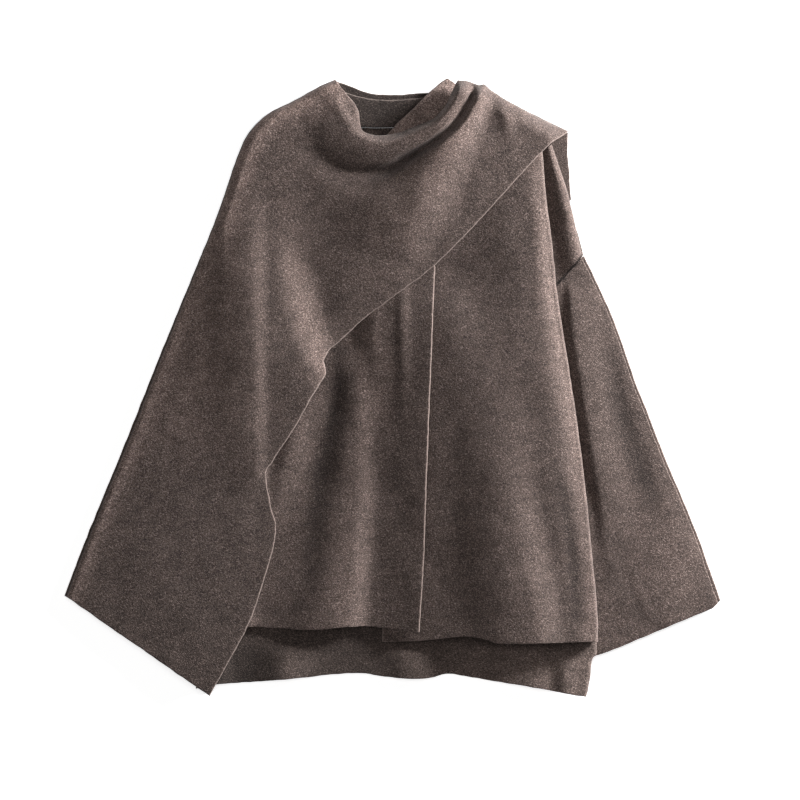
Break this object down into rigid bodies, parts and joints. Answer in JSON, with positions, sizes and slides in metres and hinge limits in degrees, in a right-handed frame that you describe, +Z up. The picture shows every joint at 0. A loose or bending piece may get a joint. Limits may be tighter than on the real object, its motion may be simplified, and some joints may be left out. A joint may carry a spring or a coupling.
{
  "type": "cape cardigan coat",
  "caption": "Open-fronted wool cardigan coat laid flat, with wide sleeves and a shawl, cut in one with one sleeve, thrown across the chest to the other shoulder.",
  "frame": {"origin": "middle of the bounding box, on the surface that the garment lies on", "axes": "+X to the wearer's left across the garment, +Y to the neck, +Z up from the surface, through back and front"},
  "size_m": [0.7882, 0.743, 0.0299],
  "materials": {
    "wool": "matt felted taupe-brown melange wool, its cut edges paler",
    "wool_inside": "matt felted taupe-brown melange wool, the inside of the cloth"
  },
  "bodies": {
    "root": {"back_panel": "wool_inside", "collar_stand": "wool_inside", "collar_facing": "wool_inside", "front_right": "wool", "front_left": "wool", "front_left_shoulder": "wool", "sleeve_left_front": "wool", "sleeve_left_back": "wool", "sleeve_right_back": "wool", "cape_right": "wool", "shawl_inner": "wool", "shawl_tail": "wool"}
  },
  "joints": []
}
